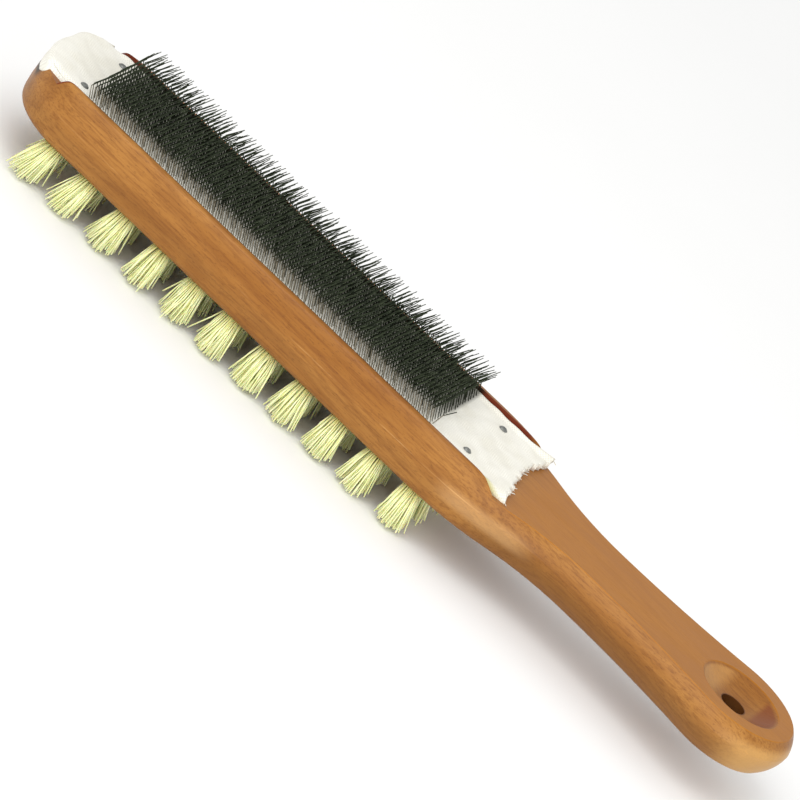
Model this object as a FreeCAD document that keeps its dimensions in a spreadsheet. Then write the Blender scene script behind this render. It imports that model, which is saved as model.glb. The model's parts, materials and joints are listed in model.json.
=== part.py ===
import FreeCAD, Part
import math
import os
import Sketcher
from FreeCAD import Vector

# Two-sided hand brush: a wooden bat with a cloth strip of bent steel wires tacked into a
# channel on its upper face and rows of bristle tufts set into its lower face.
# Frame: origin below the middle of the object, on the plane of the bristle tips; +X runs from
# the rounded nose to the end of the handle, +Z is the wire side. Millimetres.

DIMENSIONS = {
    # Plan outline of the stock, at its widest level. Distances along X start at the nose.
    "stock_length": 250.0,
    "head_half_width": 23.75,
    "nose_radius": 33.0,
    "nose_corner_radius": 18.4,
    "shoulder_start": 139.0,
    "neck_place": 186.0,
    "neck_half_width": 14.8,
    "bulb_radius": 19.2,
    # Levels of the stock.
    "tuft_length": 12.0,
    "stock_thickness": 15.4,
    "low_outline_rise": 3.0,
    "channel_depth": 3.2,
    "channel_width": 40.0,
    # How far the rounded sides draw in from the widest level, on the head and on the handle.
    "head_draw_floor": 0.7,
    "head_draw_top": 2.0,
    "handle_draw_floor": 2.4,
    "handle_draw_top": 7.0,
    "head_draw_low": 0.4,
    "head_draw_bottom": 1.0,
    "handle_draw_low": 1.3,
    "handle_draw_bottom": 3.6,
    "lip_rounding": 1.3,
    "underside_rounding": 2.2,
    # Hang hole near the end of the handle, with its dish.
    "hang_hole_place": 231.6,
    "hang_hole_radius": 3.5,
    "dish_radius": 11.75,
    "dish_depth": 3.7,
    # Backing cloth.
    "cloth_thickness": 2.0,
    "cloth_half_width": 19.8,
    "cloth_draw": 0.7,
    "cloth_tip_place": 160.0,
    "cloth_notch_place": 155.0,
    # Field of bent wires.
    "wire_start": 18.3,
    "wire_end": 133.3,
    "wire_half_width": 19.0,
    "wire_knee_rise": 3.4,
    "wire_knee_lean": 2.2,
    "wire_rise": 8.1,
    # Tacks.
    "tack_first_place": 14.0,
    "tack_last_place": 143.5,
    "tack_side_place": 13.2,
    "tack_head_radius": 1.2,
    "tack_head_edge": 0.8,
    "tack_head_height": 0.4,
    "tack_shank_radius": 0.6,
    "tack_shank_length": 7.0,
    # Bristle tufts and the anchors that hold them.
    "tuft_first_place": 19.4,
    "tuft_pitch": 12.08,
    "inner_row_place": 6.2,
    "outer_row_place": 18.5,
    "tuft_hole_radius": 2.45,
    "tuft_hole_depth": 7.0,
    "tuft_root_radius": 2.4,
    "tuft_root_depth": 6.9,
    "tuft_tip_radius": 3.6,
    "outer_row_lean": 1.4,
    "inner_row_lean": 0.4,
    "nose_lean": 2.2,
    "handle_lean": 2.0,
    "anchor_thickness": 0.4,
    "anchor_width": 4.6,
    "anchor_height": 2.0,
    "anchor_depth": 5.6,
}
TUFTS_PER_ROW = 11
ROW_SIDES = {"1": (-1, "outer"), "2": (-1, "inner"), "3": (1, "inner"), "4": (1, "outer")}
LEANING_TUFTS = 4
CUT_MARGIN = 5.0

WIDEST_LEVEL = "(Dims.tuft_length + Dims.stock_thickness / 2)"
LIP_TOP = "(Dims.tuft_length + Dims.stock_thickness)"
FLOOR = "(Dims.tuft_length + Dims.stock_thickness - Dims.channel_depth)"
CLOTH_TOP = "(" + FLOOR + " + Dims.cloth_thickness)"
NOSE = "(-Dims.stock_length / 2)"

doc = FreeCAD.newDocument("HandBrush")
sheet = doc.addObject("Spreadsheet::Sheet", "Dims")
for row, (alias, number) in enumerate(DIMENSIONS.items(), start=1):
    sheet.set("A%d" % row, alias.replace("_", " "))
    sheet.set("B%d" % row, str(number))
    sheet.setAlias("B%d" % row, alias)
doc.recompute()

node_objects = []


def value_of(expression):
    """Number that an expression over the sheet's aliases stands for."""
    return float(sheet.evalExpression(expression))


def keep_node(obj, name):
    """Mark an object as one of the brush's pieces; its label names its file."""
    obj.Label = name
    node_objects.append(obj)
    return obj


def new_body(name):
    return keep_node(doc.addObject("PartDesign::Body", name), name)


def origin_plane(body, role):
    return next(item for item in body.Origin.OriginFeatures if item.Role == role)


def new_sketch(body, name, role, along_x=NOSE, level="0"):
    """Sketch on an origin plane of the body, moved along X and up by two expressions."""
    sketch = body.newObject("Sketcher::SketchObject", name)
    sketch.AttachmentSupport = [(origin_plane(body, role), "")]
    sketch.MapMode = "FlatFace"
    sketch.setExpression("AttachmentOffset.Base.x", along_x)
    sketch.setExpression("AttachmentOffset.Base.z", level)
    return sketch


def dimension(sketch, kind, where, expression, name):
    """Driving dimension of a sketch, bound to an expression over the sheet."""
    index = sketch.addConstraint(Sketcher.Constraint(kind, *where, value_of(expression)))
    sketch.renameConstraint(index, name)
    sketch.setExpression("Constraints." + name, expression)


def add_arc(sketch, centre, radius, start_angle, end_angle):
    circle = Part.Circle(Vector(centre[0], centre[1], 0), Vector(0, 0, 1), radius)
    return sketch.addGeometry(Part.ArcOfCircle(circle, start_angle, end_angle), False)


def add_line(sketch, start, end):
    return sketch.addGeometry(Part.LineSegment(Vector(*start, 0), Vector(*end, 0)), False)


def add_constraints(sketch, rows):
    for row in rows:
        sketch.addConstraint(Sketcher.Constraint(*row))


def closed_polygon(sketch, corners):
    """Closed polygon whose corners are pairs of expressions, each with its own two dimensions."""
    points = [(value_of(across), value_of(up)) for across, up in corners]
    lines = [add_line(sketch, points[i - 1], points[i]) for i in range(len(points))]
    for i, line in enumerate(lines):
        sketch.addConstraint(Sketcher.Constraint("Coincident", line, 2, lines[(i + 1) % len(lines)], 1))
    for i, (across, up) in enumerate(corners):
        dimension(sketch, "DistanceX", (-1, 1, lines[i], 2), across, "across_%d" % i)
        dimension(sketch, "DistanceY", (-1, 1, lines[i], 2), up, "up_%d" % i)


def nose_arcs(sketch, draw):
    """Front arc and corner arc of the nose, drawn in from the widest outline; X from the nose."""
    nose_radius = value_of("Dims.nose_radius")
    corner_radius = value_of("Dims.nose_corner_radius")
    inset = value_of(draw)
    corner_y = value_of("Dims.head_half_width") - corner_radius
    corner_x = nose_radius - math.sqrt((nose_radius - corner_radius) ** 2 - corner_y ** 2)
    join_angle = math.atan2(corner_y, corner_x - nose_radius)
    front = add_arc(sketch, (nose_radius, 0), nose_radius - inset, join_angle, math.pi)
    corner_arc = (corner_x, corner_y, corner_radius - inset, join_angle)
    return front, corner_arc


def half_outline(body, name, level, head_draw, handle_draw):
    """Half of the stock's plan outline at one level, closed along the X axis."""
    sketch = new_sketch(body, name, "XY_Plane", level=level)
    head_half = "Dims.head_half_width - " + head_draw
    neck_half = "Dims.neck_half_width - " + handle_draw
    bulb_radius = "Dims.bulb_radius - " + handle_draw
    bulb_place = "Dims.stock_length - Dims.bulb_radius"
    side = value_of(head_half)
    shoulder_x = value_of("Dims.shoulder_start")
    neck_x = value_of("Dims.neck_place")
    neck_y = value_of(neck_half)
    bulb_x = value_of(bulb_place)
    bulb_r = value_of(bulb_radius)

    front, (corner_x, corner_y, corner_r, join_angle) = nose_arcs(sketch, head_draw)
    corner = add_arc(sketch, (corner_x, corner_y), corner_r, math.pi / 2, join_angle)
    flank = add_line(sketch, (corner_x, side), (shoulder_x, side))
    run = neck_x - shoulder_x
    turn = 2 * math.atan2(side - neck_y, run)
    sweep_r = run / (2 * math.sin(turn))
    shoulder = add_arc(sketch, (shoulder_x, side - sweep_r), sweep_r, math.pi / 2 - turn, math.pi / 2)
    throat = add_arc(sketch, (neck_x, neck_y + sweep_r), sweep_r, 1.5 * math.pi - turn, 1.5 * math.pi)
    reach = bulb_x - neck_x
    grip_r = (reach ** 2 + neck_y ** 2 - bulb_r ** 2) / (2 * (bulb_r - neck_y))
    meet = math.atan2(neck_y + grip_r, -reach)
    grip = add_arc(sketch, (neck_x, neck_y + grip_r), grip_r, 1.5 * math.pi, meet + math.pi)
    bulb = add_arc(sketch, (bulb_x, 0), bulb_r, 0, meet)
    spine = add_line(sketch, (bulb_x + bulb_r, 0), (value_of(head_draw), 0))

    add_constraints(sketch, [
        ("Tangent", front, 1, corner, 2),
        ("Tangent", corner, 1, flank, 1),
        ("Tangent", flank, 2, shoulder, 2),
        ("Tangent", shoulder, 1, throat, 1),
        ("Tangent", throat, 2, grip, 1),
        ("Tangent", grip, 2, bulb, 2),
        ("Coincident", bulb, 1, spine, 1),
        ("Coincident", spine, 2, front, 2),
        ("PointOnObject", spine, 1, -1),
        ("PointOnObject", spine, 2, -1),
        ("PointOnObject", front, 3, -1),
        ("PointOnObject", bulb, 3, -1),
        ("Horizontal", flank),
        ("Equal", shoulder, throat),
    ])
    dimension(sketch, "DistanceX", (-1, 1, front, 2), head_draw, "front_place")
    dimension(sketch, "Radius", (front,), "Dims.nose_radius - " + head_draw, "front_radius")
    dimension(sketch, "Radius", (corner,), "Dims.nose_corner_radius - " + head_draw, "corner_radius")
    dimension(sketch, "DistanceY", (-1, 1, flank, 1), head_half, "head_half")
    dimension(sketch, "DistanceX", (-1, 1, flank, 2), "Dims.shoulder_start", "shoulder_place")
    dimension(sketch, "DistanceX", (-1, 1, throat, 2), "Dims.neck_place", "neck_place")
    dimension(sketch, "DistanceY", (-1, 1, throat, 2), neck_half, "neck_half")
    dimension(sketch, "DistanceX", (-1, 1, throat, 3), "Dims.neck_place", "throat_place")
    dimension(sketch, "Radius", (bulb,), bulb_radius, "bulb_radius")
    dimension(sketch, "DistanceX", (-1, 1, bulb, 3), bulb_place, "bulb_place")
    return sketch


def add_loft(body, name, profile, sections):
    loft = body.newObject("PartDesign::AdditiveLoft", name)
    loft.Profile = profile
    loft.Sections = sections
    loft.Ruled = False
    return loft


def mirror_across_spine(body, originals):
    mirrored = body.newObject("PartDesign::Mirrored", body.Name + "_mirrored")
    mirrored.Originals = originals
    mirrored.MirrorPlane = (origin_plane(body, "XZ_Plane"), [""])
    body.Tip = mirrored
    return mirrored


def pocket(body, name, sketch, length, reversed_cut=False, both_ways=False):
    """Pocket that must take material away."""
    doc.recompute()
    before = body.Shape.Volume
    cut = body.newObject("PartDesign::Pocket", name)
    cut.Profile = sketch
    cut.setExpression("Length", length)
    cut.Reversed = reversed_cut
    cut.Midplane = both_ways
    doc.recompute()
    if body.Shape.Volume >= before:
        raise RuntimeError(name + " takes nothing away")
    return cut


def rim_edges(shape, level):
    """Names of the edges that lie wholly at one level."""
    names = []
    for index, edge in enumerate(shape.Edges, start=1):
        box = edge.BoundBox
        if abs(box.ZMin - level) < 1e-4 and abs(box.ZMax - level) < 1e-4:
            names.append("Edge%d" % index)
    return names


def round_rim(body, name, level, radius):
    doc.recompute()
    base = body.Tip
    fillet = body.newObject("PartDesign::Fillet", name)
    fillet.Base = (base, rim_edges(base.Shape, value_of(level)))
    fillet.setExpression("Radius", radius)
    return fillet


def tuft_place(column):
    return "(%s + Dims.tuft_first_place + %d * Dims.tuft_pitch)" % (NOSE, column)


def make_wooden_stock():
    """One-piece bat: rounded sides, cloth channel, hang hole with dish, tuft and tack holes."""
    body = new_body("wooden_stock")
    widest = half_outline(body, "outline_widest", WIDEST_LEVEL, "0", "0")
    upper = half_outline(body, "outline_floor", FLOOR, "Dims.head_draw_floor", "Dims.handle_draw_floor")
    top = half_outline(body, "outline_top", LIP_TOP, "Dims.head_draw_top", "Dims.handle_draw_top")
    low_level = "(Dims.tuft_length + Dims.low_outline_rise)"
    low = half_outline(body, "outline_low", low_level, "Dims.head_draw_low", "Dims.handle_draw_low")
    bottom = half_outline(body, "outline_bottom", "Dims.tuft_length",
                          "Dims.head_draw_bottom", "Dims.handle_draw_bottom")
    doc.recompute()
    upper_half = add_loft(body, "upper_half", widest, [upper, top])
    lower_half = add_loft(body, "lower_half", widest, [low, bottom])
    mirror_across_spine(body, [upper_half, lower_half])
    round_rim(body, "rounded_lips", LIP_TOP, "Dims.lip_rounding")
    round_rim(body, "rounded_underside", "Dims.tuft_length", "Dims.underside_rounding")

    channel = new_sketch(body, "channel_section", "YZ_Plane", along_x="0")
    half = "Dims.channel_width / 2"
    above = "(%s + %g)" % (LIP_TOP, CUT_MARGIN)
    closed_polygon(channel, [("-" + half, FLOOR), (half, FLOOR), (half, above), ("-" + half, above)])
    pocket(body, "cloth_channel", channel, "Dims.stock_length * 2", both_ways=True)

    dish = new_sketch(body, "dish_section", "XZ_Plane", along_x=NOSE + " + Dims.hang_hole_place")
    radius = value_of("Dims.dish_radius")
    depth = value_of("Dims.dish_depth")
    floor = value_of(FLOOR)
    ball = (radius ** 2 + depth ** 2) / (2 * depth)
    centre = (0, floor - depth + ball)
    rim_angle = math.atan2(floor - centre[1], radius)
    bowl = add_arc(dish, centre, ball, -math.pi / 2, rim_angle)
    rise = add_line(dish, (radius, floor), (radius, floor + CUT_MARGIN))
    cap = add_line(dish, (radius, floor + CUT_MARGIN), (0, floor + CUT_MARGIN))
    axis = add_line(dish, (0, floor + CUT_MARGIN), (0, floor - depth))
    add_constraints(dish, [
        ("Coincident", bowl, 2, rise, 1),
        ("Coincident", rise, 2, cap, 1),
        ("Coincident", cap, 2, axis, 1),
        ("Coincident", axis, 2, bowl, 1),
        ("PointOnObject", bowl, 3, -2),
        ("PointOnObject", bowl, 1, -2),
        ("Vertical", axis),
        ("Vertical", rise),
        ("Horizontal", cap),
    ])
    dimension(dish, "DistanceX", (-1, 1, rise, 1), "Dims.dish_radius", "dish_radius")
    dimension(dish, "DistanceY", (-1, 1, rise, 1), FLOOR, "dish_rim")
    dimension(dish, "DistanceY", (-1, 1, bowl, 1), FLOOR + " - Dims.dish_depth", "dish_bottom")
    dimension(dish, "DistanceY", (-1, 1, rise, 2), "%s + %g" % (FLOOR, CUT_MARGIN), "dish_cap")
    doc.recompute()
    before = body.Shape.Volume
    groove = body.newObject("PartDesign::Groove", "hang_dish")
    groove.Profile = dish
    groove.ReferenceAxis = (dish, ["V_Axis"])
    groove.Angle = 360
    doc.recompute()
    if body.Shape.Volume >= before:
        raise RuntimeError("the dish takes nothing away")

    hole = new_sketch(body, "hang_hole_circle", "XY_Plane")
    ring = hole.addGeometry(Part.Circle(Vector(1, 0, 0), Vector(0, 0, 1), 1), False)
    hole.addConstraint(Sketcher.Constraint("PointOnObject", ring, 3, -1))
    dimension(hole, "DistanceX", (-1, 1, ring, 3), "Dims.hang_hole_place", "hole_place")
    dimension(hole, "Radius", (ring,), "Dims.hang_hole_radius", "hole_radius")
    pocket(body, "hang_hole", hole, "Dims.stock_length", both_ways=True)

    seats = circle_sketch(body, "tack_hole_circles", FLOOR,
                          ["Dims.tack_first_place", "Dims.tack_last_place"],
                          ["Dims.tack_side_place"], "Dims.tack_shank_radius")
    pocket(body, "tack_holes", seats, "Dims.tack_shank_length")

    drilled = circle_sketch(body, "tuft_hole_circles", "Dims.tuft_length", ["Dims.tuft_first_place"],
                            ["Dims.inner_row_place", "Dims.outer_row_place"], "Dims.tuft_hole_radius")
    holes = pocket(body, "tuft_holes", drilled, "Dims.tuft_hole_depth", reversed_cut=True)
    rows = body.newObject("PartDesign::LinearPattern", "tuft_hole_rows")
    rows.Originals = [holes]
    rows.Direction = (drilled, ["H_Axis"])
    rows.setExpression("Length", "%d * Dims.tuft_pitch" % (TUFTS_PER_ROW - 1))
    rows.Occurrences = TUFTS_PER_ROW
    body.Tip = rows
    return body


def circle_sketch(body, name, level, places, sides, radius):
    """Equal circles at each place along X, mirrored to both sides of the spine."""
    sketch = new_sketch(body, name, "XY_Plane", level=level)
    first = None
    for i, place in enumerate(places):
        for j, side in enumerate(sides):
            for hand in (-1, 1):
                centre = Vector(value_of(place), hand * value_of(side), 0)
                ring = sketch.addGeometry(Part.Circle(centre, Vector(0, 0, 1), value_of(radius)), False)
                tag = "%d_%d_%s" % (i, j, "near" if hand < 0 else "far")
                dimension(sketch, "DistanceX", (-1, 1, ring, 3), place, "place_" + tag)
                offset = side if hand > 0 else "-" + side
                dimension(sketch, "DistanceY", (-1, 1, ring, 3), offset, "side_" + tag)
                if first is None:
                    first = ring
                    dimension(sketch, "Radius", (ring,), radius, "radius")
                else:
                    sketch.addConstraint(Sketcher.Constraint("Equal", first, ring))
    return sketch


def make_backing_cloth():
    """Canvas strip: rounded to the nose, straight in the channel, notched at its tail."""
    body = new_body("backing_cloth")
    sketch = new_sketch(body, "cloth_outline", "XY_Plane", level=FLOOR)
    side = value_of("Dims.cloth_half_width")
    tip = value_of("Dims.cloth_tip_place")
    notch = value_of("Dims.cloth_notch_place")
    front, (corner_x, corner_y, corner_r, join_angle) = nose_arcs(sketch, "Dims.cloth_draw")
    edge_angle = math.pi - math.asin((side - corner_y) / corner_r)
    corner = add_arc(sketch, (corner_x, corner_y), corner_r, edge_angle, join_angle)
    edge = add_line(sketch, (corner_x + corner_r * math.cos(edge_angle), side), (tip, side))
    sag = tip - notch
    tail_r = (side ** 2 + sag ** 2) / (2 * sag)
    tail_x = notch + tail_r
    tail = add_arc(sketch, (tail_x, 0), tail_r, math.atan2(side, tip - tail_x), math.pi)
    spine = add_line(sketch, (notch, 0), (value_of("Dims.cloth_draw"), 0))
    add_constraints(sketch, [
        ("Tangent", front, 1, corner, 2),
        ("Coincident", corner, 1, edge, 1),
        ("Coincident", edge, 2, tail, 1),
        ("Coincident", tail, 2, spine, 1),
        ("Coincident", spine, 2, front, 2),
        ("PointOnObject", spine, 1, -1),
        ("PointOnObject", spine, 2, -1),
        ("PointOnObject", front, 3, -1),
        ("PointOnObject", tail, 3, -1),
        ("Horizontal", edge),
    ])
    dimension(sketch, "DistanceX", (-1, 1, front, 2), "Dims.cloth_draw", "front_place")
    dimension(sketch, "Radius", (front,), "Dims.nose_radius - Dims.cloth_draw", "front_radius")
    dimension(sketch, "Radius", (corner,), "Dims.nose_corner_radius - Dims.cloth_draw", "corner_radius")
    dimension(sketch, "DistanceY", (-1, 1, corner, 3),
              "Dims.head_half_width - Dims.nose_corner_radius", "corner_centre")
    dimension(sketch, "DistanceY", (-1, 1, edge, 1), "Dims.cloth_half_width", "half_width")
    dimension(sketch, "DistanceX", (-1, 1, edge, 2), "Dims.cloth_tip_place", "tip_place")
    dimension(sketch, "DistanceX", (-1, 1, tail, 2), "Dims.cloth_notch_place", "notch_place")
    pad = body.newObject("PartDesign::Pad", "cloth_ply")
    pad.Profile = sketch
    pad.setExpression("Length", "Dims.cloth_thickness")
    doc.recompute()
    mirror_across_spine(body, [pad])
    seats = circle_sketch(body, "cloth_hole_circles", CLOTH_TOP,
                          ["Dims.tack_first_place", "Dims.tack_last_place"],
                          ["Dims.tack_side_place"], "Dims.tack_shank_radius")
    pocket(body, "cloth_holes", seats, "Dims.cloth_thickness * 2")
    return body


def make_wire_teeth():
    """Envelope of the wire field: every wire leans to the nose, then bends back to the handle."""
    body = new_body("wire_teeth")
    sketch = new_sketch(body, "wire_profile", "XZ_Plane")
    knee = CLOTH_TOP + " + Dims.wire_knee_rise"
    tips = CLOTH_TOP + " + Dims.wire_rise"
    closed_polygon(sketch, [
        ("Dims.wire_start", CLOTH_TOP),
        ("Dims.wire_end", CLOTH_TOP),
        ("Dims.wire_end - Dims.wire_knee_lean", knee),
        ("Dims.wire_end", tips),
        ("Dims.wire_start", tips),
        ("Dims.wire_start - Dims.wire_knee_lean", knee),
    ])
    pad = body.newObject("PartDesign::Pad", "wire_field")
    pad.Profile = sketch
    pad.Midplane = True
    pad.setExpression("Length", "2 * Dims.wire_half_width")
    return body


def place(obj, along, across, up):
    obj.setExpression("Placement.Base.x", along)
    obj.setExpression("Placement.Base.y", across)
    obj.setExpression("Placement.Base.z", up)


def make_cloth_tacks():
    """Four tacks: low cone-edged heads on the cloth, shanks down into the stock."""
    tacks = []
    for end in ("first", "last"):
        for hand, sign in (("near", "-"), ("far", "")):
            tag = "%s_%s" % (end, hand)
            along = "%s + Dims.tack_%s_place" % (NOSE, end)
            across = sign + "Dims.tack_side_place"
            head = doc.addObject("Part::Cone", "tack_head_" + tag)
            head.setExpression("Radius1", "Dims.tack_head_radius")
            head.setExpression("Radius2", "Dims.tack_head_edge")
            head.setExpression("Height", "Dims.tack_head_height")
            place(head, along, across, CLOTH_TOP)
            shank = doc.addObject("Part::Cylinder", "tack_shank_" + tag)
            shank.setExpression("Radius", "Dims.tack_shank_radius")
            shank.setExpression("Height", "Dims.tack_shank_length + Dims.cloth_thickness")
            place(shank, along, across, FLOOR + " - Dims.tack_shank_length")
            tack = doc.addObject("Part::Fuse", "tack_" + tag)
            tack.Base = head
            tack.Tool = shank
            tacks.append(tack)
    group = doc.addObject("Part::Compound", "cloth_tacks")
    group.Links = tacks
    return keep_node(group, "cloth_tacks")


def lean_along(column):
    """Lean of a tuft's tips along X: the first few fan towards the nose, the last to the handle."""
    if column < LEANING_TUFTS:
        return "(-Dims.nose_lean * %g)" % (1 - column / LEANING_TUFTS)
    if column == TUFTS_PER_ROW - 1:
        return "Dims.handle_lean"
    return "0"


def make_tuft(row, column):
    """Bristle tuft: a bundle that fills its hole and fans out below the stock."""
    sign, kind = ROW_SIDES[row]
    name = "tuft_r%s_%02d" % (row, column + 1)
    along = tuft_place(column)
    across = "(%d * Dims.%s_row_place)" % (sign, kind)
    root = doc.addObject("Part::Cylinder", name + "_root")
    root.setExpression("Radius", "Dims.tuft_root_radius")
    root.setExpression("Height", "Dims.tuft_root_depth")
    place(root, along, across, "Dims.tuft_length")
    mouth = doc.addObject("Part::Circle", name + "_mouth")
    mouth.setExpression("Radius", "Dims.tuft_root_radius")
    place(mouth, along, across, "Dims.tuft_length")
    tips = doc.addObject("Part::Circle", name + "_tips")
    tips.setExpression("Radius", "Dims.tuft_tip_radius")
    place(tips, along + " + " + lean_along(column), across + " + %d * Dims.%s_row_lean" % (sign, kind), "0")
    fan = doc.addObject("Part::Loft", name + "_fan")
    fan.Sections = [mouth, tips]
    fan.Solid = True
    fan.Ruled = True
    bundle = doc.addObject("Part::Fuse", name + "_bundle")
    bundle.Base = root
    bundle.Tool = fan
    slot = doc.addObject("Part::Box", name + "_slot")
    slot.setExpression("Length", "Dims.anchor_thickness")
    slot.setExpression("Width", "4 * Dims.tuft_root_radius")
    slot.setExpression("Height", "Dims.anchor_height")
    place(slot, along + " - Dims.anchor_thickness / 2", across + " - 2 * Dims.tuft_root_radius",
          "Dims.tuft_length + Dims.anchor_depth - Dims.anchor_height")
    tuft = doc.addObject("Part::Cut", name)
    tuft.Base = bundle
    tuft.Tool = slot
    keep_node(tuft, name)


def make_tuft_anchors():
    """Flat metal anchors, one across each tuft's fold inside its hole."""
    anchors = []
    for row, (sign, kind) in ROW_SIDES.items():
        for column in range(TUFTS_PER_ROW):
            anchor = doc.addObject("Part::Box", "anchor_r%s_%02d" % (row, column + 1))
            anchor.setExpression("Length", "Dims.anchor_thickness")
            anchor.setExpression("Width", "Dims.anchor_width")
            anchor.setExpression("Height", "Dims.anchor_height")
            across = "%d * Dims.%s_row_place - Dims.anchor_width / 2" % (sign, kind)
            place(anchor, tuft_place(column) + " - Dims.anchor_thickness / 2", across,
                  "Dims.tuft_length + Dims.anchor_depth - Dims.anchor_height")
            anchors.append(anchor)
    group = doc.addObject("Part::Compound", "tuft_anchors")
    group.Links = anchors
    return keep_node(group, "tuft_anchors")


make_wooden_stock()
make_backing_cloth()
make_wire_teeth()
make_cloth_tacks()
for tuft_row in ROW_SIDES:
    for tuft_column in range(TUFTS_PER_ROW):
        make_tuft(tuft_row, tuft_column)
make_tuft_anchors()
doc.recompute()

for item in doc.Objects:
    if "Invalid" in item.State or "Error" in item.State:
        raise RuntimeError(item.Name + " is " + str(item.State))
for item in node_objects:
    if item.Shape.isNull() or not item.Shape.isValid() or item.Shape.Volume <= 0:
        raise RuntimeError(item.Label + " has no valid shape")

os.makedirs("parts", exist_ok=True)
for item in node_objects:
    item.Shape.exportStep("parts/" + item.Label + ".step")
    if not item.Label.startswith("tuft_r"):
        box = item.Shape.BoundBox
        print("%s: %d solids, %.0f mm3, x %.2f..%.2f y %.2f..%.2f z %.2f..%.2f" % (
            item.Label, len(item.Shape.Solids), item.Shape.Volume,
            box.XMin, box.XMax, box.YMin, box.YMax, box.ZMin, box.ZMax))
print("%d nodes" % len(node_objects))
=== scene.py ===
import json
import math
import random

import bpy
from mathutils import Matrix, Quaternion, Vector


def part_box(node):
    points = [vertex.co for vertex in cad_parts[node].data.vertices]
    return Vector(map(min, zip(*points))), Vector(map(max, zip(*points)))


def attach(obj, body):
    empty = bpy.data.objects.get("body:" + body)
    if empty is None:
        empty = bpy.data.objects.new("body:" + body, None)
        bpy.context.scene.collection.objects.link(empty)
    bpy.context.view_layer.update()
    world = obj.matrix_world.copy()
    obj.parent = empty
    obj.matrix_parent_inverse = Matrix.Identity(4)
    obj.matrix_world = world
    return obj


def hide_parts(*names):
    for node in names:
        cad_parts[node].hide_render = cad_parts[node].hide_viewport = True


# Looks of the two-sided hand brush: lacquered beech, a torn canvas strip full of knee-bent
# wires, and tufts of coarse bristle. Metres; the nose points to -X and the wires to +Z.

MM = 0.001
SEED = 7

# Camera: the view's direction and roll, the point that it looks at and the width seen there.
CAMERA_AZIMUTH = 7.39
CAMERA_ELEVATION = 21.59
CAMERA_ROLL = 40.9
CAMERA_DISTANCE = 4.0
CAMERA_LOOK = (-0.0037, 0.0, 0.0183)
CAMERA_WIDTH = 0.1948
CAMERA_CLIP = (0.1, 30)

# Stock, where the looks need its shape.
NOSE_RADIUS = 33.0 * MM
NOSE_CORNER_RADIUS = 18.4 * MM
HEAD_HALF_WIDTH = 23.75 * MM
LIP_HEIGHT = 3.2 * MM
FLOOR_INSET = 0.7 * MM
WALL_SLOPE = 0.16
SHOULDER_PLACE = 139.0 * MM

# Wires.
WIRE_ROWS = 38
WIRE_PITCH = 2.03 * MM
WIRE_RADIUS = 0.13 * MM
BUNCHED_FROM_ROW = 28
BUNCH = 0.35 * MM
WIRE_LEAN = 2.2 * MM
WIRE_KNEE = 0.42
WIRE_SIDES = 5
WIRE_SUNK = 0.6 * MM
KNEE_ROUNDING = 0.12
WIRE_TIP_SHARE = 0.75
NEAR_WIRE_MARGIN = 0.6 * MM
FAR_WIRE_MARGIN = 0.1 * MM

# Spread of the wires about their places, in millimetres, and the waves that bunch the far tips.
WIRE_PLACE_SPREAD = 0.08
WIRE_ROW_SPREAD = 0.07
WIRE_KNEE_SPREAD = 0.06
WIRE_TIP_SPREAD = (0.22, 0.25, 0.2)
BUNCH_WAVE = 1350
BUNCH_DRIFT = 410
BUNCH_DRIFT_SHARE = 3
BUNCH_ROW_STEP = 0.12

# One wire of the last rows is bent out: points from the nose, the spine and the lips' top.
STRAY_WIRE = ((133.2, -16.2, -1.2), (133.8, -15.8, 2.0), (135.6, -14.0, 4.4))

# Tufts.
TUFTS_PER_ROW = 11
BRISTLES_PER_TUFT = 130
BRISTLE_RADIUS = 0.21 * MM
BRISTLE_SIDES = 5
TUFT_ROOT_RADIUS = 2.3 * MM
TUFT_TIP_RADIUS = 3.6 * MM
TUFT_SPREAD = 1.15
TUFT_ROOT_SUNK = 1.5 * MM
INNER_ROW_PLACE = 6.2 * MM
OUTER_ROW_PLACE = 18.5 * MM
ANCHOR_HALF_THICKNESS = 0.2 * MM
GOLDEN_TURN = 2.39996
STRAY_SHARE = 0.03
STRAY_SPREAD = 1.6
BRISTLE_TIP_SHARE = 0.85
BRISTLE_RADIUS_RANGE = (0.8, 1.15)

# Spread of the bristles, in millimetres: sideways at the tips, in height, at the rim and in bow.
BRISTLE_TIP_SPREAD = 0.7
BRISTLE_HEIGHT_SPREAD = 0.8
BRISTLE_RIM_LIFT = 0.9
BRISTLE_BOW = 0.25

# Outer tufts splay outward more in the middle of the row than at its ends.
MIDDLE_SPLAY = 2.4 * MM
END_SPLAY = -0.5 * MM

# Cloth: its body and its gap above the wood.
CLOTH_THICKNESS = 1.9 * MM
CLOTH_GAP = 0.05 * MM
CLOTH_COLUMNS = 96
CLOTH_ROWS = 260
ROW_CROWDING = 1.25
RIPPLE = 0.1 * MM

# Nose end of the cloth: it wraps down over the edge of the stock, less towards the lips. It
# overhangs the far corner and is trimmed at the near one.
FLAP_STEPS = 6
FOLD_STEPS = 4
FLAP_THICKNESS = 0.55 * MM
FLAP_DROP = 2.4 * MM
FLAP_MIDDLE_DROP = 0.6 * MM
FLAP_LOWEST_Y = 13.5 * MM
FLAP_END_Y = 17.5 * MM
FLAP_LEAST_DROP = 0.15 * MM
FLAP_FRAY_SHARE = 0.15
FOLD_RADIUS = 0.25 * MM
SETTLING_RUN = 2.5 * MM
THIN_CORNER_Y = -17.0 * MM
THIN_CORNER_RUN = 3.5 * MM
THICKENING_RUN = 6.0 * MM
FAR_OVERHANG = 2.3 * MM
OVERHANG_START_Y = 4.0 * MM
OVERHANG_RUN = 12.0 * MM
OVERHANG_HALVING_Y = 17.5 * MM
OVERHANG_HALVING_RUN = 2.3 * MM
NEAR_TRIM = 6.5 * MM
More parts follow.
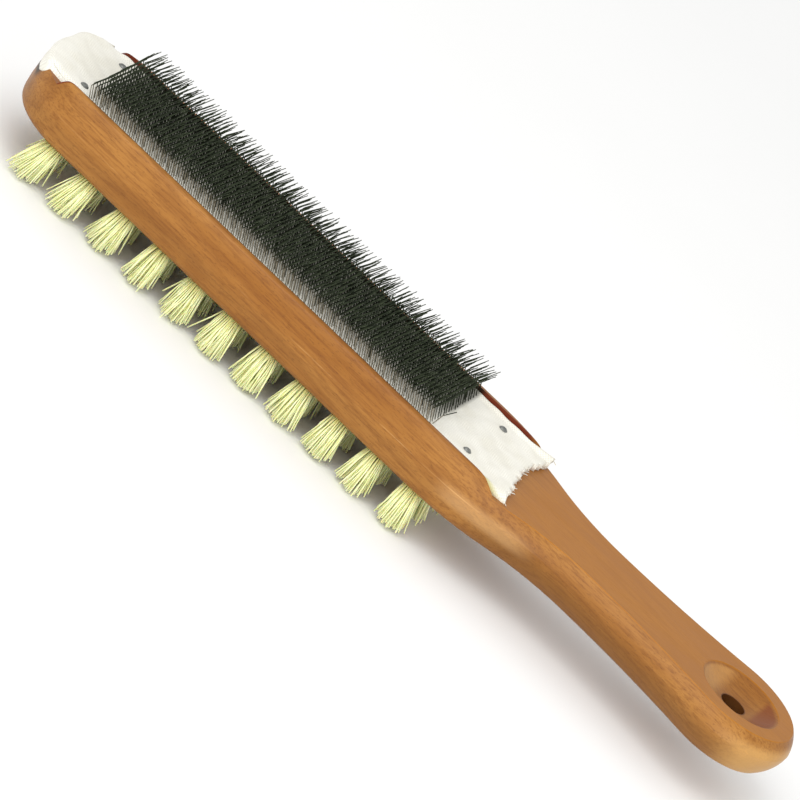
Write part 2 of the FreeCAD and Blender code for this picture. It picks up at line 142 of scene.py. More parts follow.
NEAR_TRIM_Y = -15.0 * MM
NEAR_TRIM_RUN = 3.0 * MM
TRIM_LIFTING = 0.6 * MM

# Long edges of the cloth, which rise against the lips, and its torn tail with a notch.
LIP_START = 9.0 * MM
LIP_START_RUN = 4.0 * MM
LIP_END = 150.0 * MM
PAST_LIP_RUN = 10.0 * MM
EDGE_RISE = 0.9 * MM
RISING_BAND = 0.14
THIN_BAND = 0.06
BAND_THINNING = 0.35
NOTCH_DEPTH = 5.2 * MM
NOTCH_Y = 5.0 * MM
NEAR_TIP_SHARE = 0.73
NEAR_TIP_POWER = 1.15
FAR_TIP_SHARE = 0.5
FAR_TIP_POWER = 1.4
NEAR_TIP_DROOP = 1.0 * MM
NEAR_TIP_DRAW = 2.4 * MM
FAR_TIP_RISE = 1.3 * MM
FRAY_THREADS = 70
FRAY_RADIUS = 0.09 * MM
FRAY_SIDES = 4

# Light: name, place, size in metres and power in watts.
LIGHTS = (("key", (-0.3, -0.85, 0.95), 1.1, 9), ("fill", (0.6, -0.95, 0.3), 0.7, 4.5))
WORLD_STRENGTH = 0.78
STAGE_REACH = 6

# Display colours from 0 to 255.
WOOD = {
    "dark_band": (146, 93, 36),
    "pale_band": (170, 117, 55),
    "rings": (122, 72, 27),
    "streaks": (122, 72, 28),
    # painted shade for the side below the widest level
    "lower_side_shade": (112, 74, 32),
    "flecks": (90, 50, 22),
    # painted highlight along the widest level of the head
    "ridge_highlight": (214, 166, 104),
    # painted shade on the handle's underside
    "handle_underside_shade": (104, 66, 26),
    # painted against the pale reflection on the handle's flat top
    "handle_flat_reflection_offset": (172, 108, 18),
    # painted highlight on the handle's end
    "end_highlight": (224, 176, 106),
    # painted highlight on the shoulders
    "shoulder_highlight": (228, 184, 128),
    # painted shade on the channel's inner walls
    "channel_wall_shade": (110, 44, 22),
    # painted shade on the walls beside the wires
    "wall_shade_beside_wires": (34, 26, 16),
    # painted shade on the nose end
    "nose_shade": (20, 21, 15),
    # painted shade inside the hang hole
    "hole": (70, 38, 18),
    # painted shade and a chip's colour on the dish's end wall
    "dish_end_wall_chip_and_shade": (122, 62, 28),
    # painted light on the dish's wall before the hole
    "dish_first_wall_light": (224, 172, 104),
}
CANVAS = {
    "pale": (250, 248, 239),
    "mottled": (240, 237, 225),
    "weave": (186, 180, 156),
    "edge": (222, 208, 160),
    # metal dust and painted shade among the wires
    "dust_and_shade": (58, 57, 42),
    "fraying": (196, 188, 118),
}
STEEL = {
    "tack": ((108, 110, 106), (148, 149, 145)),
    "anchor": ((120, 120, 120), (160, 160, 160)),
    "wire": ((24, 31, 18), (58, 66, 46)),
    # painted light on the wires along the near lip
    "lit_wire_colour": (172, 162, 142),
}
BRISTLE = {"dark": (238, 239, 166), "pale": (248, 249, 202), "root": (190, 180, 92)}
PAPER = ((247, 247, 246), (251, 251, 250))


def linear(red, green, blue):
    """Scene colour for a display colour from 0 to 255."""
    def channel(value):
        value /= 255
        return value / 12.92 if value <= 0.04045 else ((value + 0.055) / 1.055) ** 2.4
    return channel(red), channel(green), channel(blue), 1.0


class Nodes:
    """Short way to write a material's node tree."""

    def __init__(self, name, **sockets):
        self.material = bpy.data.materials.new(name)
        self.material.use_nodes = True
        self.tree = self.material.node_tree
        self.shader = self.tree.nodes["Principled BSDF"]
        for socket, value in sockets.items():
            self.shader.inputs[socket.replace("_", " ")].default_value = value
        self.place = self.tree.nodes.new("ShaderNodeTexCoord").outputs["Object"]

    def link(self, source, socket):
        self.tree.links.new(source, socket)

    def set(self, socket, value):
        if isinstance(value, bpy.types.NodeSocket):
            self.link(value, socket)
        else:
            socket.default_value = value

    def scaled(self, x, y, z):
        node = self.tree.nodes.new("ShaderNodeMapping")
        self.link(self.place, node.inputs["Vector"])
        node.inputs["Scale"].default_value = (x, y, z)
        return node.outputs["Vector"]

    def noise(self, where, scale=1.0, detail=4.0, roughness=0.55, distortion=0.0):
        node = self.tree.nodes.new("ShaderNodeTexNoise")
        self.link(where, node.inputs["Vector"])
        node.inputs["Scale"].default_value = scale
        node.inputs["Detail"].default_value = detail
        node.inputs["Roughness"].default_value = roughness
        node.inputs["Distortion"].default_value = distortion
        return node.outputs["Fac"]

    def axis(self, name):
        node = self.tree.nodes.new("ShaderNodeSeparateXYZ")
        self.link(self.place, node.inputs[0])
        return node.outputs[name]

    def math(self, kind, first, second=0.0, third=0.0):
        node = self.tree.nodes.new("ShaderNodeMath")
        node.operation = kind
        for socket, value in zip(node.inputs, (first, second, third)):
            self.set(socket, value)
        return node.outputs[0]

    def between(self, value, low, high, start=0.0, end=1.0):
        """Value taken from low..high to start..end, clamped and eased."""
        node = self.tree.nodes.new("ShaderNodeMapRange")
        node.interpolation_type = "SMOOTHSTEP"
        for socket, item in zip(node.inputs, (value, low, high, start, end)):
            self.set(socket, item)
        return node.outputs[0]

    def fade(self, value, low, high, strength=1.0):
        """From nothing at low to the strength at high."""
        return self.between(value, low, high, 0.0, strength)

    def both(self, first, second):
        return self.math("MULTIPLY", first, second)

    def mix(self, share, first, second):
        node = self.tree.nodes.new("ShaderNodeMix")
        node.data_type = "RGBA"
        self.set(node.inputs[0], share)
        self.set(node.inputs[6], first)
        self.set(node.inputs[7], second)
        return node.outputs[2]

    def tint(self, colour, share, display):
        return self.mix(share, colour, linear(*display))

    def bump(self, height, distance, strength=1.0):
        node = self.tree.nodes.new("ShaderNodeBump")
        node.inputs["Strength"].default_value = strength
        node.inputs["Distance"].default_value = distance
        self.link(height, node.inputs["Height"])
        self.link(node.outputs[0], self.shader.inputs["Normal"])

    def finish(self, colour, roughness):
        self.set(self.shader.inputs["Base Color"], colour)
        self.set(self.shader.inputs["Roughness"], roughness)
        return self.material


def wood_grain(n, z, ridge):
    """Bands, wavy rings, fine streaks and short flecks along X, and painted shade below the widest level;
    also the bands and the relief.
    """
    bands = n.noise(n.scaled(14, 90, 90), 1.0, 5.0, 0.6, 0.4)
    streaks = n.noise(n.scaled(150, 2100, 2100), 1.0, 4.0)
    flecks = n.noise(n.scaled(800, 5200, 4200), 1.0, 1.0)
    rings = n.math("SINE", n.math("MULTIPLY", n.noise(n.scaled(9, 60, 75), 1.0, 2.0, 0.4), 60.0))
    colour = n.mix(n.between(bands, 0.3, 0.7), linear(*WOOD["dark_band"]), linear(*WOOD["pale_band"]))
    colour = n.tint(colour, n.fade(rings, 0.2, 1.0, 0.3), WOOD["rings"])
    colour = n.tint(colour, n.fade(streaks, 0.42, 0.7, 0.6), WOOD["streaks"])
    # Painted shade: the side is darkened below the widest level.
    colour = n.tint(colour, n.between(z, ridge - 3.0 * MM, ridge, 0.22, 0.0), WOOD["lower_side_shade"])
    colour = n.tint(colour, n.fade(flecks, 0.6, 0.7, 0.36), WOOD["flecks"])
    return colour, bands, n.math("MULTIPLY_ADD", flecks, 0.5, streaks)


def broken_ridge_highlight(n, colour, z, ridge, on_handle):
    """Painted highlight: a thin pale line along the widest level of the head, broken and slightly wavy."""
    wobble = n.math("MULTIPLY_ADD", n.noise(n.scaled(60, 60, 60)), 0.5 * MM, ridge - 0.25 * MM)
    distance = n.math("ABSOLUTE", n.math("SUBTRACT", z, wobble))
    line = n.both(n.between(distance, 0.08 * MM, 0.2 * MM, 1.0, 0.0),
                  n.fade(n.noise(n.scaled(35, 35, 35)), 0.48, 0.66, 0.5))
    off_handle = n.math("MULTIPLY_ADD", on_handle, -0.9, 1.0)
    return n.tint(colour, n.both(line, off_handle), WOOD["ridge_highlight"])


def handle_light_and_shade(n, colour, x, z, ridge, channel_floor, on_handle):
    """Painted shade on the underside, a warmer colour painted on the flat against its pale reflection, and
    paler painted highlights on the handle's end and both shoulders.
    """
    # Painted shade: the handle is darker below its widest level.
    underside = n.both(on_handle, n.fade(z, ridge + 3.5 * MM, ridge - 4.5 * MM, 0.45))
    colour = n.tint(colour, underside, WOOD["handle_underside_shade"])
    # Painted tone: the handle's flat top is painted warmer and deeper to offset the pale reflection it
    # shows.
    flat = n.both(on_handle, n.fade(z, channel_floor - 0.3 * MM, channel_floor - 0.1 * MM, 0.6))
    colour = n.tint(colour, flat, WOOD["handle_flat_reflection_offset"])
    # Painted highlight: paler colour low on the handle's end.
    end = n.both(n.fade(x, stock_high.x - 16.0 * MM, stock_high.x - 5.0 * MM),
                 n.fade(z, channel_floor - 1.0 * MM, channel_floor - 3.5 * MM, 0.5))
    colour = n.tint(colour, end, WOOD["end_highlight"])
    # Painted highlight: a soft paler patch on both shoulders.
    along = n.both(n.fade(x, stock_low.x + 142 * MM, stock_low.x + 151 * MM),
                   n.fade(x, stock_low.x + 175 * MM, stock_low.x + 165 * MM))
    up = n.both(n.fade(z, 15.2 * MM, 17.6 * MM), n.fade(z, 21.8 * MM, 19.2 * MM, 0.3))
    return n.tint(colour, n.both(along, up), WOOD["shoulder_highlight"])


def shaded_head(n, colour, x, y, z, channel_floor):
    """Painted shade: reddish walls of the channel, dark beside the wires, and dark on the nose end below the
    cloth flap.
    """
    wires_low, wires_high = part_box("wire_teeth")
    wall = n.both(n.fade(n.math("ABSOLUTE", y), 20.3 * MM, 20.1 * MM),
                  n.fade(z, channel_floor - 0.2 * MM, channel_floor + 0.3 * MM))
    head_end = stock_low.x + SHOULDER_PLACE
    on_head = n.fade(x, head_end + 13 * MM, head_end + 9 * MM)
    # Painted shade: reddish darkening of the channel's inner walls along the head.
    colour = n.tint(colour, n.both(wall, on_head), WOOD["channel_wall_shade"])
    beside_wires = n.both(n.fade(x, wires_low.x - 1.0 * MM, wires_low.x + 2.0 * MM),
                          n.fade(x, wires_high.x + 1.0 * MM, wires_high.x - 1.0 * MM, 0.9))
    # Painted shade, darker still where the wires stand beside the walls.
    colour = n.tint(colour, n.both(wall, beside_wires), WOOD["wall_shade_beside_wires"])
    # Painted shade on the nose end below the cloth flap.
    nose_shade_mask = n.both(n.fade(x, stock_low.x + 4.2 * MM, stock_low.x + 2.4 * MM, 0.95),
                   n.fade(z, channel_floor - 6.0 * MM, channel_floor - 3.6 * MM))
    return n.tint(colour, nose_shade_mask, WOOD["nose_shade"])


def dished_hole(n, colour, x, y, z, channel_floor):
    """Painted shade in the hang hole, and a dish that is brown towards the handle's end, with painted shade
    and a chip, and paler before the hole, with painted light.
    """
    hole = Vector(frame["record"]["mounts"][0]["pos_m"])
    from_x = n.math("POWER", n.math("SUBTRACT", x, hole.x), 2.0)
    from_axis = n.math("SQRT", n.math("ADD", from_x, n.math("POWER", y, 2.0)))
    # Painted shade inside the hang hole.
    colour = n.tint(colour, n.fade(from_axis, 3.9 * MM, 3.5 * MM, 0.8), WOOD["hole"])
    in_dish = n.both(n.fade(from_axis, 12.0 * MM, 11.0 * MM),
                     n.fade(z, channel_floor - 0.2 * MM, channel_floor - 0.8 * MM))
    # Painted shade on the dish's end wall, with the reddish brown of a chip there.
    end_wall_chip_and_shade = n.both(in_dish, n.fade(x, hole.x + 4.5 * MM, hole.x + 6.5 * MM, 0.8))
    colour = n.tint(colour, end_wall_chip_and_shade, WOOD["dish_end_wall_chip_and_shade"])
    # Painted light: the dish's wall before the hole is paler.
    lit_first_wall = n.both(in_dish, n.fade(x, hole.x - 3.5 * MM, hole.x - 7.5 * MM, 0.32))
    return n.tint(colour, lit_first_wall, WOOD["dish_first_wall_light"])


def make_wood():
    """Lacquered beech with painted shade and painted highlights at the brush's own places."""
    n = Nodes("lacquered_beech", Coat_Weight=0.14, Coat_Roughness=0.34, Specular_IOR_Level=0.16)
    ridge = (stock_low.z + stock_high.z) / 2
    channel_floor = stock_high.z - LIP_HEIGHT
    x, y, z = (n.axis(name) for name in "XYZ")
    colour, bands, relief = wood_grain(n, z, ridge)
    head_end = stock_low.x + SHOULDER_PLACE
    on_handle = n.fade(x, head_end + 12 * MM, head_end + 26 * MM)
    colour = broken_ridge_highlight(n, colour, z, ridge, on_handle)
    colour = handle_light_and_shade(n, colour, x, z, ridge, channel_floor, on_handle)
    colour = shaded_head(n, colour, x, y, z, channel_floor)
    colour = dished_hole(n, colour, x, y, z, channel_floor)
    n.bump(relief, 0.03 * MM, 0.35)
    return n.finish(colour, n.between(bands, 0.3, 0.7, 0.36, 0.5))


def make_canvas():
    """Off-white cotton canvas: plain weave, faint mottling, yellow edges, darkened among the wires by metal
    dust and painted shade.
    """
    n = Nodes("canvas", Sheen_Weight=0.25, Sheen_Roughness=0.5, Specular_IOR_Level=0.2)
    thread_pitch = 0.8 * MM
    x, y = n.axis("X"), n.axis("Y")
    loose = n.noise(n.scaled(300, 300, 300), 1.0, 3.0)

    def wave(value):
        turn = n.math("MULTIPLY", value, math.tau / thread_pitch)
        return n.math("SINE", n.math("MULTIPLY_ADD", loose, 1.2, turn))

    weave = n.math("MULTIPLY_ADD", n.both(wave(x), wave(y)), 0.5, 0.5)
    blotch = n.noise(n.scaled(110, 110, 110), 1.0, 5.0)
    colour = n.mix(n.between(blotch, 0.35, 0.65), linear(*CANVAS["pale"]), linear(*CANVAS["mottled"]))
    colour = n.tint(colour, n.math("MULTIPLY", weave, 0.42), CANVAS["weave"])
    edge = n.fade(n.math("ABSOLUTE", y), 19.0 * MM, 19.9 * MM, 0.5)
    colour = n.tint(colour, edge, CANVAS["edge"])
    wires_low, wires_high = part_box("wire_teeth")
    among_wires = n.both(n.fade(x, wires_low.x + 1.5 * MM, wires_low.x + 3.5 * MM),
                         n.fade(x, wires_high.x + 0.5 * MM, wires_high.x - 1.0 * MM))
    # Metal dust and painted shade darken the canvas among the wires, more towards the far side.
    dust_and_shade = n.both(among_wires, n.fade(y, -13.0 * MM, 3.0 * MM, 0.75))
    colour = n.tint(colour, dust_and_shade, CANVAS["dust_and_shade"])
    lip_end = stock_low.x + LIP_END
    fraying = n.both(n.fade(x, lip_end - 10 * MM, lip_end - 4 * MM),
                     n.fade(y, -17.2 * MM, -19.0 * MM, 0.85))
    colour = n.tint(colour, fraying, CANVAS["fraying"])
    n.bump(n.math("MULTIPLY_ADD", loose, 0.6, weave), 0.12 * MM, 0.9)
    return n.finish(colour, n.between(blotch, 0.3, 0.7, 0.85, 0.95))


def make_steel(name, tones, roughness, lit_colour=None):
    """Mottled steel of two tones; the optional last colour is painted light, low down along the near lip."""
    n = Nodes(name, Metallic=0.75)
    mottle = n.noise(n.scaled(900, 900, 400), 1.0, 4.0)
    scratch = n.noise(n.scaled(5000, 5000, 900), 1.0, 2.0)
    colour = n.mix(n.between(mottle, 0.3, 0.7), *(linear(*tone) for tone in tones))
    if lit_colour:
        # Painted light on the wires low down along the near lip.
        lit_near_lip = n.both(n.fade(n.axis("Y"), -12.0 * MM, -17.5 * MM),
                          n.fade(n.axis("Z"), 30.4 * MM, 28.8 * MM, 0.7))
        colour = n.tint(colour, lit_near_lip, lit_colour)
    n.bump(scratch, 0.01 * MM, 0.4)
    return n.finish(colour, n.between(scratch, 0.3, 0.7, roughness - 0.08, roughness + 0.12))


def make_bristle(root_level):
    """Pale yellow-green fibre, more olive towards its root."""
    n = Nodes("bristle", Subsurface_Weight=0.12, Subsurface_Scale=0.8 * MM, Coat_Weight=0.1)
    strand = n.noise(n.scaled(1700, 1700, 110), 1.0, 3.0)
    grit = n.noise(n.scaled(5200, 5200, 1500), 1.0, 2.0)
    colour = n.mix(n.between(strand, 0.3, 0.7), linear(*BRISTLE["dark"]), linear(*BRISTLE["pale"]))
    deep = n.fade(n.axis("Z"), root_level - 4.5 * MM, root_level, 0.7)
    colour = n.tint(colour, deep, BRISTLE["root"])
    n.bump(grit, 0.02 * MM, 0.4)
    return n.finish(colour, n.between(grit, 0.3, 0.7, 0.42, 0.6))


def make_floor():
    n = Nodes("studio_paper", Specular_IOR_Level=0.1)
    tone = n.noise(n.scaled(8, 8, 8), 1.0, 3.0)
    return n.finish(n.mix(tone, *(linear(*shade) for shade in PAPER)), 0.9)


def add_mesh(name, points, faces, material, smooth=True):
    mesh = bpy.data.meshes.new(name)
    mesh.from_pydata(points, [], faces)
    mesh.materials.append(material)
    mesh.polygons.foreach_set("use_smooth", [smooth] * len(mesh.polygons))
    mesh.update()
    piece = bpy.data.objects.new(name, mesh)
    bpy.context.scene.collection.objects.link(piece)
    return piece


def add_rod(points, faces, path, radii, sides):
    """Closed rod through the path's points, added to the lists of points and faces."""
    first = len(points)
    for i, (centre, radius) in enumerate(zip(path, radii)):
        along = (path[min(i + 1, len(path) - 1)] - path[max(i - 1, 0)]).normalized()
        across = along.orthogonal() if i == 0 else across - along * across.dot(along)
        across.normalize()
        other = along.cross(across)
        for side in range(sides):
            turn = math.tau * side / sides
            points.append(centre + (across * math.cos(turn) + other * math.sin(turn)) * radius)
    for ring in range(len(path) - 1):
        base = first + ring * sides
        for side in range(sides):
            after = (side + 1) % sides
            faces.append((base + side, base + after, base + sides + after, base + sides + side))
    faces.append(tuple(range(first + sides - 1, first - 1, -1)))
    last = first + (len(path) - 1) * sides
    faces.append(tuple(range(last, last + sides)))


def add_wires(material):
    """Rows of wires, each bent at a knee towards the nose; every other row is half a pitch on."""
    rng = random.Random(SEED)
    low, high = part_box("wire_teeth")
    start, end = low.x + WIRE_LEAN, high.x
    rise = high.z - low.z
    count = round((end - start) / WIRE_PITCH)
    near, far = low.y + NEAR_WIRE_MARGIN, high.y - FAR_WIRE_MARGIN
    points, faces = [], []

    def off(spread):
        return rng.gauss(0, spread) * MM

    for row in range(WIRE_ROWS):
        y = near + (far - near) * row / (WIRE_ROWS - 1)
        for place in range(count):
            x = start + (place + 0.5 * (row % 2)) * WIRE_PITCH + off(WIRE_PLACE_SPREAD)
            across = y + off(WIRE_ROW_SPREAD)
            base = Vector((x, across, low.z - WIRE_SUNK))
            knee = Vector((x - WIRE_LEAN + off(WIRE_KNEE_SPREAD), across + off(WIRE_KNEE_SPREAD),
                           low.z + rise * WIRE_KNEE + off(WIRE_KNEE_SPREAD)))
            along_spread, across_spread, shortening = WIRE_TIP_SPREAD
            tip = Vector((x + off(along_spread), across + off(across_spread), high.z - abs(off(shortening))))
            if row >= BUNCHED_FROM_ROW:
                drift = BUNCH_DRIFT_SHARE * math.sin(x * BUNCH_DRIFT)
                tip.x += BUNCH * math.sin(x * BUNCH_WAVE + drift + row * BUNCH_ROW_STEP)
            path = [base, knee.lerp(base, KNEE_ROUNDING), knee, knee.lerp(tip, KNEE_ROUNDING), tip]
            add_rod(points, faces, path, [WIRE_RADIUS] * 4 + [WIRE_RADIUS * WIRE_TIP_SHARE], WIRE_SIDES)
    corner = Vector((stock_low.x, 0, stock_high.z))
    stray = [corner + Vector(point) * MM for point in STRAY_WIRE]
    add_rod(points, faces, stray, [WIRE_RADIUS] * len(stray), WIRE_SIDES)
    piece = add_mesh("wire_field", points, faces, material)
    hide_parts("wire_teeth")
    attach(piece, "root")


def tuft_root(node):
    """Middle of a tuft's hole at the stock's underside, from its row and its place in the row."""
    row, column = int(node[6]), int(node[8:]) - 1
    low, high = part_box("tuft_anchors")
    first, last = low.x + ANCHOR_HALF_THICKNESS, high.x - ANCHOR_HALF_THICKNESS
    y = {1: -OUTER_ROW_PLACE, 2: -INNER_ROW_PLACE, 3: INNER_ROW_PLACE, 4: OUTER_ROW_PLACE}[row]
    return Vector((first + (last - first) * column / (TUFTS_PER_ROW - 1), y, stock_low.z))


def add_tuft(node, material, rng):
    """Stiff, nearly straight bristles that fan out from their hole, with a few strays."""
    low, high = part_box(node)
    root = tuft_root(node)
    tip_y = low.y + TUFT_TIP_RADIUS if root.y < 0 else high.y - TUFT_TIP_RADIUS
    tip = Vector((low.x + TUFT_TIP_RADIUS, tip_y, low.z))
    if abs(root.y) == OUTER_ROW_PLACE:
        along_row = (int(node[8:]) - 1) / (TUFTS_PER_ROW - 1)
        splay = END_SPLAY + (MIDDLE_SPLAY - END_SPLAY) * math.sin(math.pi * along_row)
        tip.y += math.copysign(splay, root.y)
    points, faces = [], []

    def off(spread):
        return rng.gauss(0, spread)

    for i in range(BRISTLES_PER_TUFT):
        reach = math.sqrt((i + 0.5) / BRISTLES_PER_TUFT)
        turn = i * GOLDEN_TURN
        outward = Vector((math.cos(turn), math.sin(turn), 0)) * reach
        spread = TUFT_TIP_RADIUS * TUFT_SPREAD * (STRAY_SPREAD if rng.random() < STRAY_SHARE else 1.0)
        start = root + outward * TUFT_ROOT_RADIUS + Vector((0, 0, TUFT_ROOT_SUNK))
        jitter = Vector((off(BRISTLE_TIP_SPREAD), off(BRISTLE_TIP_SPREAD), 0)) * MM
        end = tip + outward * spread + jitter
        end.z = BRISTLE_RADIUS + abs(off(BRISTLE_HEIGHT_SPREAD)) * MM + BRISTLE_RIM_LIFT * reach * MM
        bow = Vector((off(BRISTLE_BOW), off(BRISTLE_BOW), 0)) * MM
        radius = BRISTLE_RADIUS * rng.uniform(*BRISTLE_RADIUS_RANGE)
        path = [start, start.lerp(end, 0.5) + bow, end]
        add_rod(points, faces, path, [radius, radius, radius * BRISTLE_TIP_SHARE], BRISTLE_SIDES)
    piece = add_mesh(node.replace("tuft", "bristles"), points, faces, material)
    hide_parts(node)
    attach(piece, "root")


def nose_edge(y):
    """Point of the floor's outline at the nose for a distance from the spine, and its way out."""
    corner_y = HEAD_HALF_WIDTH - NOSE_CORNER_RADIUS
    corner_x = NOSE_RADIUS - math.sqrt((NOSE_RADIUS - NOSE_CORNER_RADIUS) ** 2 - corner_y ** 2)
    join_y = (NOSE_RADIUS - FLOOR_INSET) * corner_y / (NOSE_RADIUS - NOSE_CORNER_RADIUS)
    centre, radius = (NOSE_RADIUS, 0.0), NOSE_RADIUS - FLOOR_INSET
    if abs(y) > join_y:
        centre, radius = (corner_x, math.copysign(corner_y, y)), NOSE_CORNER_RADIUS - FLOOR_INSET
    x = centre[0] - math.sqrt(radius ** 2 - (y - centre[1]) ** 2)
    outward = Vector((x - centre[0], y - centre[1], 0)).normalized()
    return Vector((stock_low.x + x, y, 0)), outward


def ease(value):
    value = min(1.0, max(0.0, value))
    return value * value * (3 - 2 * value)


def torn_end(y, half, high_x):
    """Where the torn tail ends: a notch between a long near tip and a shorter far one."""
    if y < NOTCH_Y:
        share = NEAR_TIP_SHARE * ((NOTCH_Y - y) / (half + NOTCH_Y)) ** NEAR_TIP_POWER
    else:
        share = FAR_TIP_SHARE * ((y - NOTCH_Y) / (half - NOTCH_Y)) ** FAR_TIP_POWER
    return high_x - NOTCH_DEPTH * (1 - share)


def edge_lift(x, across):
    """Rise of the cloth's long edges against the lips, and the hang of its two tips past them."""
    share = ease((abs(across) - 1 + RISING_BAND) / RISING_BAND)
    share *= ease((x - stock_low.x - LIP_START) / LIP_START_RUN)
    past = max(0.0, x - stock_low.x - LIP_END) / PAST_LIP_RUN
    if across < 0:
        return share * (EDGE_RISE - (EDGE_RISE + NEAR_TIP_DROOP) * past)
    return share * (EDGE_RISE + FAR_TIP_RISE * past)


def flap_shape(y, fray):
    """Drop of the flap, thickness of its fold, overhang and trim for a distance from the spine."""
    rising = FLAP_MIDDLE_DROP + (FLAP_DROP - FLAP_MIDDLE_DROP) * ease(abs(y) / FLAP_LOWEST_Y)
    closing = 1 - ease((abs(y) - FLAP_LOWEST_Y) / (FLAP_END_Y - FLAP_LOWEST_Y))
    drop = max(FLAP_LEAST_DROP, rising * closing) + fray * FLAP_FRAY_SHARE
    fold = FLAP_THICKNESS + (CLOTH_THICKNESS - FLAP_THICKNESS) * ease((y - THIN_CORNER_Y) / THIN_CORNER_RUN)
    halving = 1 - 0.5 * ease((y - OVERHANG_HALVING_Y) / OVERHANG_HALVING_RUN)
    overhang = FAR_OVERHANG * ease((y - OVERHANG_START_Y) / OVERHANG_RUN) * halving
    trim = NEAR_TRIM * ease((NEAR_TRIM_Y - y) / NEAR_TRIM_RUN)
    return drop, fold, overhang, trim


def cloth_column(across, half, fray, high_x, floor):
    """Points on the cloth's upper and lower face along one line from flap to tail, and its length."""
    y = half * across
    edge, outward = nose_edge(y)
    up = Vector((0, 0, 1))
    drop, fold, overhang, trim = flap_shape(y, fray)
    out = Vector((-overhang, 0, 0))
    edge.x += trim
    hang = 1 - ease(trim / TRIM_LIFTING)
    under, normal, thick = [], [], []
    for step in range(FLAP_STEPS + 1):
        depth = (FOLD_RADIUS + drop * (1 - step / FLAP_STEPS)) * hang
        off_wall = outward * (CLOTH_GAP + WALL_SLOPE * depth)
        under.append(edge + out * (step / FLAP_STEPS) + off_wall + up * (floor - depth))
        normal.append(outward)
        thick.append(FLAP_THICKNESS)
    fold_centre = edge + out - outward * FOLD_RADIUS + up * (floor - FOLD_RADIUS * hang)
    for step in range(1, FOLD_STEPS + 1):
        turn = math.pi / 2 * step / FOLD_STEPS
        direction = outward * math.cos(turn) + up * math.sin(turn)
        under.append(fold_centre + direction * (FOLD_RADIUS + CLOTH_GAP))
        normal.append(direction)
        thick.append(FLAP_THICKNESS + (fold - FLAP_THICKNESS) * ease(step / FOLD_STEPS))
    start = under[-1].x
    end = torn_end(y, half, high_x) + fray
    edge_thinning = 1 - BAND_THINNING * ease((abs(across) - 1 + THIN_BAND) / THIN_BAND)
    for step in range(1, CLOTH_ROWS + 1):
        x = start + (end - start) * (step / CLOTH_ROWS) ** ROW_CROWDING
        ripple = RIPPLE * math.sin(x * 900 + y * 260) * math.sin(y * 700 - x * 150)
        settle = ease((x - start) / SETTLING_RUN)
        past = ease((x - stock_low.x - LIP_END) / PAST_LIP_RUN)
        drawn = NEAR_TIP_DRAW * past * ease(-across)
        under.append(Vector((x, y + drawn, floor + CLOTH_GAP + edge_lift(x, across) * settle)))
        normal.append(up)
        body = fold + (CLOTH_THICKNESS - fold) * ease((x - start) / THICKENING_RUN)
        thick.append(body * edge_thinning + ripple * settle)
    length = end - edge.x + overhang + drop
    return [u + n * t for u, n, t in zip(under, normal, thick)], under, length


def add_cloth(material):
    """Canvas strip in its channel, wrapped over the nose, its torn tail on the root of the handle."""
    rng = random.Random(SEED + 1)
    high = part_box("backing_cloth")[1]
    floor = stock_high.z - LIP_HEIGHT
    rough = [rng.gauss(0, 0.3) for _ in range(CLOTH_COLUMNS + 3)]
    top, under, cuts = [], [], []
    for j in range(CLOTH_COLUMNS + 1):
        across = 2 * j / CLOTH_COLUMNS - 1
        fray = (rough[j] * 0.5 + rough[j + 1] * 0.8 + rough[j + 2] * 0.5) * MM
        upper, lower, cut = cloth_column(across, high.y, fray, high.x, floor)
        top.append(upper)
        under.append(lower)
        cuts.append(cut)
    length = len(top[0])
    points = [p for column in top + under for p in column]
    count = len(points) // 2
    faces = []
    for j in range(CLOTH_COLUMNS):
        for i in range(length - 1):
            a = j * length + i
            faces.append((a, a + 1, a + length + 1, a + length))
            faces.append((a + count, a + length + count, a + length + 1 + count, a + 1 + count))
    rim = list(range(length))
    rim += [j * length + length - 1 for j in range(1, CLOTH_COLUMNS + 1)]
    rim += [CLOTH_COLUMNS * length + i for i in range(length - 2, -1, -1)]
    rim += [j * length for j in range(CLOTH_COLUMNS - 1, 0, -1)]
    for a, b in zip(rim, rim[1:] + rim[:1]):
        faces.append((b, a, a + count, b + count))
    piece = add_mesh("cloth_strip", points, faces, material)
    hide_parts("backing_cloth")
    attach(piece, "root")
    frays = add_frays(material, top, under, rng)


def add_frays(material, top, under, rng):
    """Loose threads that stand out of the torn tail."""
    points, faces = [], []
    for _ in range(FRAY_THREADS):
        j = rng.randrange(len(top))
        start = top[j][-1].lerp(under[j][-1], rng.random()) - Vector((0.5 * MM, 0, 0))
        reach = abs(rng.gauss(0, 0.5)) * MM + 0.5 * MM
        end = start + Vector((reach, rng.gauss(0, 0.5) * MM, rng.gauss(0, 0.3) * MM))
        bend = start.lerp(end, 0.5) + Vector((0, rng.gauss(0, 0.2), rng.gauss(0, 0.2))) * MM
        add_rod(points, faces, [start, bend, end], [FRAY_RADIUS] * 3, FRAY_SIDES)
    piece = add_mesh("cloth_frays", points, faces, material)
    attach(piece, "root")
    return piece


def dress(node, material):
    """Finish of a CAD node that keeps its own shape."""
    piece = frame["nodes"][node]
    piece.data.materials.clear()
    piece.data.materials.append(material)


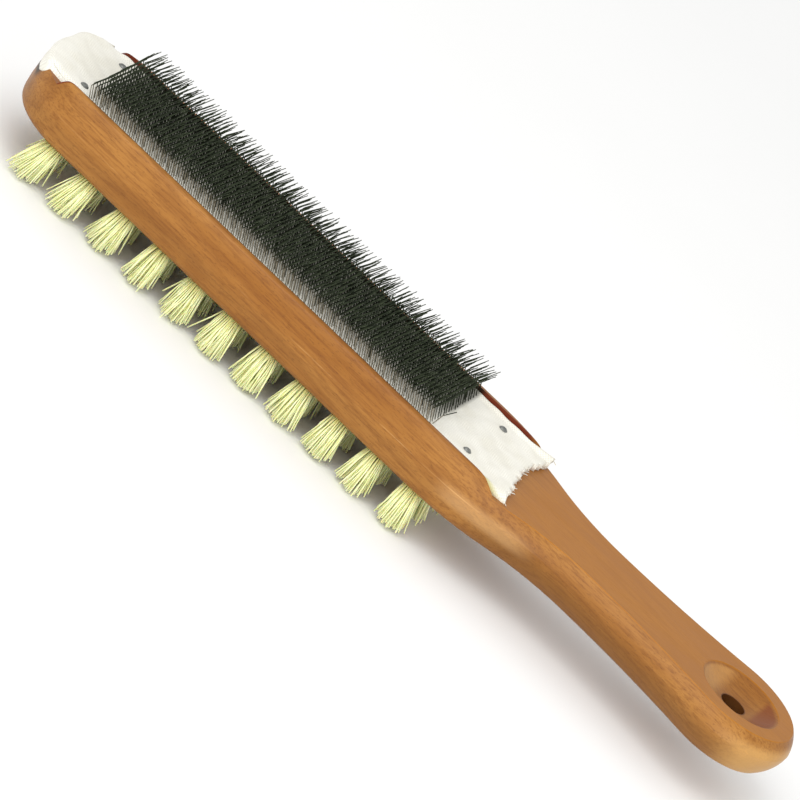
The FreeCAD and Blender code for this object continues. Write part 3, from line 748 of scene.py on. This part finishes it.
def add_stage():
    r = STAGE_REACH
    corners = [(-r, -r, 0), (r, -r, 0), (r, r, 0), (-r, r, 0)]
    floor = add_mesh("floor", corners, [(0, 1, 2, 3)], make_floor(), False)
    world = bpy.data.worlds.new("studio")
    world.use_nodes = True
    world.node_tree.nodes["Background"].inputs["Color"].default_value = (1, 1, 1, 1)
    world.node_tree.nodes["Background"].inputs["Strength"].default_value = WORLD_STRENGTH
    bpy.context.scene.world = world
    for name, place, size, power in LIGHTS:
        light = bpy.data.lights.new(name, "AREA")
        light.size, light.energy = size, power
        lamp = bpy.data.objects.new(name, light)
        lamp.location = place
        lamp.rotation_mode = "QUATERNION"
        lamp.rotation_quaternion = (-Vector(place)).to_track_quat("-Z", "Y")
        lamp.visible_camera = False
        bpy.context.scene.collection.objects.link(lamp)


def add_camera():
    a, e, roll = (math.radians(v) for v in (CAMERA_AZIMUTH, CAMERA_ELEVATION, CAMERA_ROLL))
    back = Vector((math.sin(a) * math.cos(e), -math.cos(a) * math.cos(e), math.sin(e)))
    camera = bpy.data.objects.new("camera", bpy.data.cameras.new("camera"))
    camera.data.lens = camera.data.sensor_width * CAMERA_DISTANCE / CAMERA_WIDTH
    camera.data.clip_start, camera.data.clip_end = CAMERA_CLIP
    camera.location = Vector(CAMERA_LOOK) + back * CAMERA_DISTANCE
    camera.rotation_mode = "QUATERNION"
    camera.rotation_quaternion = (-back).to_track_quat("-Z", "Y") @ Quaternion((0, 0, 1), roll)
    bpy.context.scene.collection.objects.link(camera)
    bpy.context.scene.camera = camera


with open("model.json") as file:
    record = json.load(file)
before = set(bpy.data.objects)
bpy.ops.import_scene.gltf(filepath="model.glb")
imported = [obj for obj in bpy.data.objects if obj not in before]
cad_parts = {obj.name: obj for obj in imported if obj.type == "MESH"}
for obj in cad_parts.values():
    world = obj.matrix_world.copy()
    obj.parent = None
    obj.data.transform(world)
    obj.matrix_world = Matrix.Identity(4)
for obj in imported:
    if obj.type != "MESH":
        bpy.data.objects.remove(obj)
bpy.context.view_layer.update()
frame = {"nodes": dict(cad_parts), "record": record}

stock_low, stock_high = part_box("wooden_stock")
dress("wooden_stock", make_wood())
dress("cloth_tacks", make_steel("tack_steel", STEEL["tack"], 0.5))
dress("tuft_anchors", make_steel("anchor_steel", STEEL["anchor"], 0.4))
add_wires(make_steel("wire_steel", STEEL["wire"], 0.4, STEEL["lit_wire_colour"]))
add_cloth(make_canvas())
bristle = make_bristle(stock_low.z)
tuft_rng = random.Random(SEED + 2)
for node in sorted(name for name in frame["nodes"] if name.startswith("tuft_r")):
    add_tuft(node, bristle, tuft_rng)
add_stage()
add_camera()
bpy.context.scene.view_settings.view_transform = "Standard"
